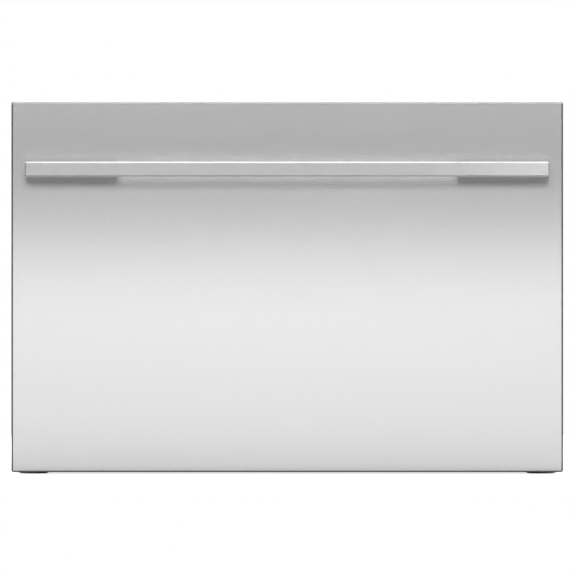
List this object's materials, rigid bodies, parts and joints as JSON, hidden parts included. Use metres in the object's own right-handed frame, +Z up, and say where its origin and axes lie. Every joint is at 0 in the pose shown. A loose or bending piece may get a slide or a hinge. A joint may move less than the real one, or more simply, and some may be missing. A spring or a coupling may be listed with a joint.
{
  "type": "drawer dishwasher",
  "caption": "Drawer dishwasher for a kitchen module: tub on telescopic runners, stainless front panel with bar handle, lid, racks, spray arm and pump.",
  "frame": {"origin": "under the middle of the overall box, on the floor that the feet stand on", "axes": "+X to the right as seen from the front, +Y to the rear, away from the handle, +Z up"},
  "size_m": [0.596, 0.621, 0.402],
  "materials": {
    "panel_stainless": "stainless sheet, fine brushing from side to side",
    "handle_stainless": "stainless bar, brushed along its length",
    "core_board": "pressed paper board, matt",
    "galvanised_sheet": "galvanised sheet, matt with a faint spangle",
    "zinc_steel": "rolled steel, bright zinc plate",
    "filter_steel": "stainless sheet, satin",
    "foot_rubber": "moulded rubber, matt",
    "seal_rubber": "extruded seal, matt",
    "dark_plastic": "moulded, fine grain",
    "grey_plastic": "moulded, satin",
    "white_plastic": "moulded, satin",
    "tub_plastic": "moulded polypropylene, satin",
    "spray_plastic": "welded polypropylene, satin",
    "basket_plastic": "moulded, satin",
    "deck_gloss": "polished black cover",
    "display_lens": "smoked clear lens",
    "key_plastic": "silver lacquer",
    "circuit_board": "green solder mask",
    "coated_wire": "nylon-coated steel wire, satin"
  },
  "bodies": {
    "chassis": {"chassis_side_right": "galvanised_sheet", "chassis_side_left": "galvanised_sheet", "chassis_roof": "galvanised_sheet", "chassis_back": "galvanised_sheet", "base_tray": "galvanised_sheet", "brow_trim": "dark_plastic", "fixing_tab_right": "zinc_steel", "fixing_tab_left": "zinc_steel", "foot_front_right": "foot_rubber", "foot_front_left": "foot_rubber", "foot_rear_right": "foot_rubber", "foot_rear_left": "foot_rubber", "runner_outer_right": "zinc_steel", "runner_outer_left": "zinc_steel", "lid_actuator_right": "dark_plastic", "lid_actuator_left": "dark_plastic", "inlet_valve": "white_plastic", "drain_outlet": "dark_plastic", "terminal_box": "dark_plastic"},
    "lid": {"lid_shell": "grey_plastic", "lid_seal": "seal_rubber"},
    "leak_float": {"leak_float": "white_plastic"},
    "runner_middle_right": {"runner_middle_right": "zinc_steel"},
    "runner_middle_left": {"runner_middle_left": "zinc_steel"},
    "outer_ball_cage_right": {"outer_ball_cage_right": "zinc_steel"},
    "outer_ball_cage_left": {"outer_ball_cage_left": "zinc_steel"},
    "inner_ball_cage_right": {"inner_ball_cage_right": "zinc_steel"},
    "inner_ball_cage_left": {"inner_ball_cage_left": "zinc_steel"},
    "drawer": {"front_panel": "panel_stainless", "panel_core": "core_board", "handle_bar": "handle_stainless", "handle_post_right": "handle_stainless", "handle_post_left": "handle_stainless", "front_frame": "grey_plastic", "control_deck": "deck_gloss", "display_window": "display_lens", "control_board": "circuit_board", "controller_box": "dark_plastic", "tub": "tub_plastic", "runner_inner_right": "zinc_steel", "runner_inner_left": "zinc_steel", "dispenser_body": "grey_plastic", "pump_housing": "dark_plastic", "filter_plate": "filter_steel", "base_rack": "coated_wire", "cutlery_basket": "basket_plastic"},
    "power_key": {"power_key": "key_plastic"},
    "program_key": {"program_key": "key_plastic"},
    "delay_key": {"delay_key": "key_plastic"},
    "start_key": {"start_key": "key_plastic"},
    "dispenser_flap": {"dispenser_flap": "grey_plastic"},
    "rinse_cap": {"rinse_cap": "dark_plastic"},
    "drain_filter": {"drain_filter": "grey_plastic"},
    "pump_rotor": {"pump_rotor": "white_plastic"},
    "tine_row_left": {"tine_row_left": "coated_wire"},
    "tine_row_middle": {"tine_row_middle": "coated_wire"},
    "cup_shelf_front_left": {"cup_shelf_front_left": "basket_plastic"},
    "cup_shelf_rear_left": {"cup_shelf_rear_left": "basket_plastic"},
    "cup_shelf_rear_right": {"cup_shelf_rear_right": "basket_plastic"},
    "spray_arm": {"spray_arm": "spray_plastic"}
  },
  "joints": [
    {"name": "drawer_slide", "type": "slide", "parent": "chassis", "child": "drawer", "axis": [0, -1, 0], "range_m": [0, 0.5]},
    {"name": "runner_middle_right_slide", "type": "slide", "parent": "chassis", "child": "runner_middle_right", "axis": [0, -1, 0], "range_m": [0, 0.25]},
    {"name": "runner_middle_left_slide", "type": "slide", "parent": "chassis", "child": "runner_middle_left", "axis": [0, -1, 0], "range_m": [0, 0.25]},
    {"name": "outer_cage_right_slide", "type": "slide", "parent": "chassis", "child": "outer_ball_cage_right", "axis": [0, -1, 0], "range_m": [0, 0.125]},
    {"name": "outer_cage_left_slide", "type": "slide", "parent": "chassis", "child": "outer_ball_cage_left", "axis": [0, -1, 0], "range_m": [0, 0.125]},
    {"name": "inner_cage_right_slide", "type": "slide", "parent": "chassis", "child": "inner_ball_cage_right", "axis": [0, -1, 0], "range_m": [0, 0.375]},
    {"name": "inner_cage_left_slide", "type": "slide", "parent": "chassis", "child": "inner_ball_cage_left", "axis": [0, -1, 0], "range_m": [0, 0.375]},
    {"name": "lid_lower", "type": "slide", "parent": "chassis", "child": "lid", "axis": [0, 0, -1], "range_m": [0, 0.012]},
    {"name": "leak_float_rise", "type": "slide", "parent": "chassis", "child": "leak_float", "axis": [0, 0, 1], "range_m": [0, 0.0055]},
    {"name": "power_key_press", "type": "slide", "parent": "drawer", "child": "power_key", "axis": [0, 0, -1], "range_m": [0, 0.001], "stiffness_N_per_m": 600},
    {"name": "program_key_press", "type": "slide", "parent": "drawer", "child": "program_key", "axis": [0, 0, -1], "range_m": [0, 0.001], "stiffness_N_per_m": 600},
    {"name": "delay_key_press", "type": "slide", "parent": "drawer", "child": "delay_key", "axis": [0, 0, -1], "range_m": [0, 0.001], "stiffness_N_per_m": 600},
    {"name": "start_key_press", "type": "slide", "parent": "drawer", "child": "start_key", "axis": [0, 0, -1], "range_m": [0, 0.001], "stiffness_N_per_m": 600},
    {"name": "dispenser_flap_hinge", "type": "hinge", "parent": "drawer", "child": "dispenser_flap", "pos_m": [-0.037, -0.1885, 0.257], "axis": [-1, 0, 0], "range_deg": [0, 95]},
    {"name": "rinse_cap_turn", "type": "hinge", "parent": "drawer", "child": "rinse_cap", "pos_m": [0.039, -0.1909, 0.2852], "axis": [0, 1, 0], "range_deg": [0, 90]},
    {"name": "drain_filter_twist", "type": "hinge", "parent": "drawer", "child": "drain_filter", "pos_m": [0, 0.0974, 0.081], "axis": [0, 0, 1], "range_deg": [0, 90]},
    {"name": "pump_rotor_spin", "type": "hinge", "parent": "drawer", "child": "pump_rotor", "pos_m": [0, 0.0614, 0.04], "axis": [0, 0, 1], "continuous": true},
    {"name": "spray_arm_spin", "type": "hinge", "parent": "drawer", "child": "spray_arm", "pos_m": [0, 0.0334, 0.0977], "axis": [0, 0, 1], "continuous": true},
    {"name": "tine_row_left_fold", "type": "hinge", "parent": "drawer", "child": "tine_row_left", "pos_m": [-0.11265, 0.0334, 0.1325], "axis": [0, 1, 0], "range_deg": [0, 85]},
    {"name": "tine_row_middle_fold", "type": "hinge", "parent": "drawer", "child": "tine_row_middle", "pos_m": [0, 0.0334, 0.1325], "axis": [0, 1, 0], "range_deg": [0, 85]},
    {"name": "cup_shelf_front_left_fold", "type": "hinge", "parent": "drawer", "child": "cup_shelf_front_left", "pos_m": [-0.2473, -0.0751, 0.2234], "axis": [0, -1, 0], "range_deg": [0, 88]},
    {"name": "cup_shelf_rear_left_fold", "type": "hinge", "parent": "drawer", "child": "cup_shelf_rear_left", "pos_m": [-0.2473, 0.1419, 0.2234], "axis": [0, -1, 0], "range_deg": [0, 88]},
    {"name": "cup_shelf_rear_right_fold", "type": "hinge", "parent": "drawer", "child": "cup_shelf_rear_right", "pos_m": [0.2473, 0.1419, 0.2234], "axis": [0, 1, 0], "range_deg": [0, 88]}
  ],
  "couplings": [
    {"joint": "runner_middle_right_slide", "follows": "drawer_slide", "ratio": 0.5},
    {"joint": "runner_middle_left_slide", "follows": "drawer_slide", "ratio": 0.5},
    {"joint": "outer_cage_right_slide", "follows": "drawer_slide", "ratio": 0.25},
    {"joint": "outer_cage_left_slide", "follows": "drawer_slide", "ratio": 0.25},
    {"joint": "inner_cage_right_slide", "follows": "drawer_slide", "ratio": 0.75},
    {"joint": "inner_cage_left_slide", "follows": "drawer_slide", "ratio": 0.75}
  ]
}
